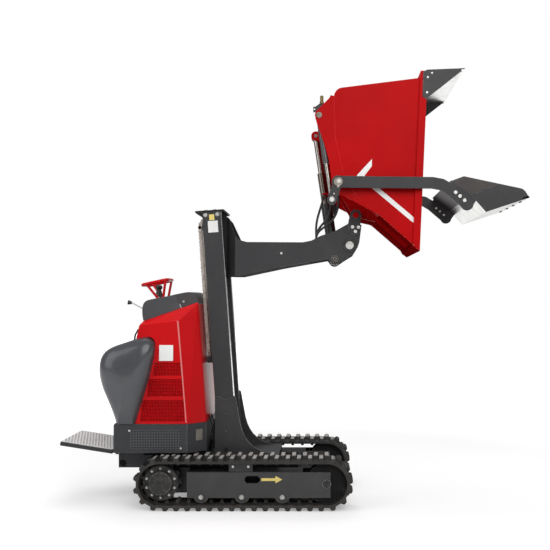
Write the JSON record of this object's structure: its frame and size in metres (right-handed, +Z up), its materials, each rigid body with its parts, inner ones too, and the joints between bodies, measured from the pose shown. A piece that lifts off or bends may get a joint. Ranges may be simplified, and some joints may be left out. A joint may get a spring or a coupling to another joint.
{
  "type": "tracked power carrier",
  "caption": "Stand-on tracked carrier with a lifting mast, a forward-tipping skip on a boom, a self-loading shovel, an operator console and a folding platform.",
  "frame": {"origin": "on the ground, under the middle of the machine's overall length and width", "axes": "+X forward, from the platform to the shovel; +Y to the machine's left; +Z up"},
  "size_m": [3.1184, 0.998, 2.8668],
  "materials": {
    "red_paint": "glossy red paint",
    "dark_grey_paint": "satin dark grey paint",
    "skirt_paint": "satin charcoal paint",
    "grey_moulding": "moulded grey plastic",
    "black_plastic": "black plastic",
    "track_rubber": "dusty black rubber",
    "hose_rubber": "black hydraulic hose",
    "cast_metal": "painted casting",
    "chain_steel": "greased steel chain",
    "bright_steel": "bright bare steel",
    "chrome_steel": "chromed and zinc-plated steel",
    "black_paint": "black paint"
  },
  "bodies": {
    "root": {"chassis_frame": "skirt_paint", "track_frame_right": "dark_grey_paint", "track_frame_left": "dark_grey_paint", "track_belt_right": "track_rubber", "track_belt_left": "track_rubber", "drive_motors": "cast_metal", "track_axles": "chain_steel", "carrier_skids": "black_plastic", "mast_frame": "dark_grey_paint", "mast_gussets": "dark_grey_paint", "mast_cap": "dark_grey_paint", "frame_bolts": "chrome_steel", "lift_barrel": "black_paint", "lift_chain_rear": "chain_steel", "console_base": "skirt_paint", "bonnet": "red_paint", "bonnet_grilles": "red_paint", "dash_cover": "grey_moulding", "fuel_tank": "grey_moulding", "oil_tank": "grey_moulding", "engine": "cast_metal", "muffler": "chain_steel", "hydraulic_pump": "cast_metal", "battery": "black_plastic", "hand_guard": "red_paint"},
    "sprocket_right": {"sprocket_right": "skirt_paint"},
    "idler_right": {"idler_right": "cast_metal"},
    "roller_right_1": {"roller_right_1": "cast_metal"},
    "roller_right_2": {"roller_right_2": "cast_metal"},
    "roller_right_3": {"roller_right_3": "cast_metal"},
    "sprocket_left": {"sprocket_left": "skirt_paint"},
    "idler_left": {"idler_left": "cast_metal"},
    "roller_left_1": {"roller_left_1": "cast_metal"},
    "roller_left_2": {"roller_left_2": "cast_metal"},
    "roller_left_3": {"roller_left_3": "cast_metal"},
    "lift_crosshead": {"lift_rod": "chrome_steel", "lift_chain_front": "chain_steel"},
    "pulleys": {"chain_pulleys": "chain_steel"},
    "boom": {"boom": "dark_grey_paint", "nose_brackets": "dark_grey_paint", "boom_fittings": "chrome_steel", "boom_hoses": "hose_rubber"},
    "skip": {"skip_tub": "red_paint", "skip_frame": "red_paint", "deflector_cheeks": "dark_grey_paint", "deflector_sheet": "bright_steel", "skip_pins": "chrome_steel"},
    "tip_barrel": {"tip_barrel": "black_paint"},
    "tip_stage": {"tip_stage": "chrome_steel"},
    "tip_rod": {"tip_rod": "chrome_steel"},
    "shovel": {"shovel_arms": "dark_grey_paint", "shovel_bucket": "dark_grey_paint", "shovel_fasteners": "chrome_steel"},
    "shovel_barrels": {"shovel_barrels": "black_paint"},
    "shovel_rods": {"shovel_rods": "chrome_steel"},
    "travel_lever_right": {"travel_lever_right": "black_plastic"},
    "travel_lever_left": {"travel_lever_left": "black_plastic"},
    "throttle_lever": {"throttle_lever": "black_plastic"},
    "platform": {"platform_frame": "dark_grey_paint", "platform_grating": "bright_steel"}
  },
  "joints": [
    {"name": "right_track_drive", "type": "hinge", "parent": "root", "child": "sprocket_right", "pos_m": [-0.8409, -0.38, 0.1725], "axis": [0, 1, 0], "continuous": true},
    {"name": "idler_right_turn", "type": "hinge", "parent": "root", "child": "idler_right", "pos_m": [0.2391, -0.38, 0.1725], "axis": [0, 1, 0], "continuous": true},
    {"name": "roller_right_1_turn", "type": "hinge", "parent": "root", "child": "roller_right_1", "pos_m": [-0.5749, -0.38, 0.0868], "axis": [0, 1, 0], "continuous": true},
    {"name": "roller_right_2_turn", "type": "hinge", "parent": "root", "child": "roller_right_2", "pos_m": [-0.3119, -0.38, 0.0868], "axis": [0, 1, 0], "continuous": true},
    {"name": "roller_right_3_turn", "type": "hinge", "parent": "root", "child": "roller_right_3", "pos_m": [-0.0489, -0.38, 0.0868], "axis": [0, 1, 0], "continuous": true},
    {"name": "left_track_drive", "type": "hinge", "parent": "root", "child": "sprocket_left", "pos_m": [-0.8409, 0.38, 0.1725], "axis": [0, 1, 0], "continuous": true},
    {"name": "idler_left_turn", "type": "hinge", "parent": "root", "child": "idler_left", "pos_m": [0.2391, 0.38, 0.1725], "axis": [0, 1, 0], "continuous": true},
    {"name": "roller_left_1_turn", "type": "hinge", "parent": "root", "child": "roller_left_1", "pos_m": [-0.5749, 0.38, 0.0868], "axis": [0, 1, 0], "continuous": true},
    {"name": "roller_left_2_turn", "type": "hinge", "parent": "root", "child": "roller_left_2", "pos_m": [-0.3119, 0.38, 0.0868], "axis": [0, 1, 0], "continuous": true},
    {"name": "roller_left_3_turn", "type": "hinge", "parent": "root", "child": "roller_left_3", "pos_m": [-0.0489, 0.38, 0.0868], "axis": [0, 1, 0], "continuous": true},
    {"name": "lift", "type": "slide", "parent": "root", "child": "lift_crosshead", "axis": [-0.0698, 0, 0.9976], "range_m": [-0.54, 0], "deforming": ["lift_chain_rear"]},
    {"name": "carriage_lift", "type": "slide", "parent": "lift_crosshead", "child": "boom", "axis": [-0.0698, 0, 0.9976], "range_m": [-0.54, 0], "deforming": ["lift_chain_front"]},
    {"name": "pulley_turn", "type": "hinge", "parent": "lift_crosshead", "child": "pulleys", "pos_m": [-0.58561, 0, 1.86899], "axis": [0, 1, 0], "range_deg": [0, 600]},
    {"name": "skip_tip", "type": "hinge", "parent": "boom", "child": "skip", "pos_m": [0.43653, 0, 1.93777], "axis": [0, -1, 0], "range_deg": [0, 80], "deforming": ["boom_hoses"]},
    {"name": "tip_barrel_swing", "type": "hinge", "parent": "boom", "child": "tip_barrel", "pos_m": [0.29553, 0, 1.64177], "axis": [0, -1, 0], "range_deg": [0, 70]},
    {"name": "tip_stage_slide", "type": "slide", "parent": "tip_barrel", "child": "tip_stage", "axis": [-0.1509, 0, 0.9886], "range_m": [-0.2, 0]},
    {"name": "tip_rod_slide", "type": "slide", "parent": "tip_stage", "child": "tip_rod", "axis": [-0.1509, 0, 0.9886], "range_m": [-0.2, 0]},
    {"name": "shovel_swing", "type": "hinge", "parent": "skip", "child": "shovel", "pos_m": [0.31353, 0, 2.12577], "axis": [0, 1, 0], "range_deg": [0, 115]},
    {"name": "shovel_barrel_swing", "type": "hinge", "parent": "skip", "child": "shovel_barrels", "pos_m": [0.18953, 0, 2.56777], "axis": [0, 1, 0], "range_deg": [0, 5]},
    {"name": "shovel_rod_slide", "type": "slide", "parent": "shovel_barrels", "child": "shovel_rods", "axis": [0.1474, 0, -0.9891], "range_m": [-0.21, 0]},
    {"name": "travel_lever_right_tilt", "type": "hinge", "parent": "root", "child": "travel_lever_right", "pos_m": [-0.9379, -0.038, 1.316], "axis": [0, 1, 0], "range_deg": [-12, 12], "stiffness_Nm_per_rad": 3},
    {"name": "travel_lever_left_tilt", "type": "hinge", "parent": "root", "child": "travel_lever_left", "pos_m": [-0.9379, 0.038, 1.316], "axis": [0, 1, 0], "range_deg": [-12, 12], "stiffness_Nm_per_rad": 3},
    {"name": "throttle_tilt", "type": "hinge", "parent": "root", "child": "throttle_lever", "pos_m": [-1.0049, -0.12, 1.292], "axis": [0, 1, 0], "range_deg": [-20, 20]},
    {"name": "platform_fold", "type": "hinge", "parent": "root", "child": "platform", "pos_m": [-1.1809, 0, 0.335], "axis": [0, 1, 0], "range_deg": [0, 60]}
  ],
  "couplings": [
    {"joint": "idler_right_turn", "follows": "right_track_drive", "ratio": 1.0377},
    {"joint": "roller_right_1_turn", "follows": "right_track_drive", "ratio": 2.938},
    {"joint": "roller_right_2_turn", "follows": "right_track_drive", "ratio": 2.938},
    {"joint": "roller_right_3_turn", "follows": "right_track_drive", "ratio": 2.938},
    {"joint": "idler_left_turn", "follows": "left_track_drive", "ratio": 1.0377},
    {"joint": "roller_left_1_turn", "follows": "left_track_drive", "ratio": 2.938},
    {"joint": "roller_left_2_turn", "follows": "left_track_drive", "ratio": 2.938},
    {"joint": "roller_left_3_turn", "follows": "left_track_drive", "ratio": 2.938},
    {"joint": "carriage_lift", "follows": "lift", "ratio": 1},
    {"joint": "pulley_turn", "follows": "lift", "rad_per_m": -19.011},
    {"joint": "tip_barrel_swing", "follows": "skip_tip", "ratio": 0.82778},
    {"joint": "tip_stage_slide", "follows": "skip_tip", "m_per_rad": -0.14022},
    {"joint": "tip_rod_slide", "follows": "skip_tip", "m_per_rad": -0.14022},
    {"joint": "shovel_barrel_swing", "follows": "shovel_swing", "ratio": 0.022},
    {"joint": "shovel_rod_slide", "follows": "shovel_swing", "m_per_rad": -0.10213}
  ]
}
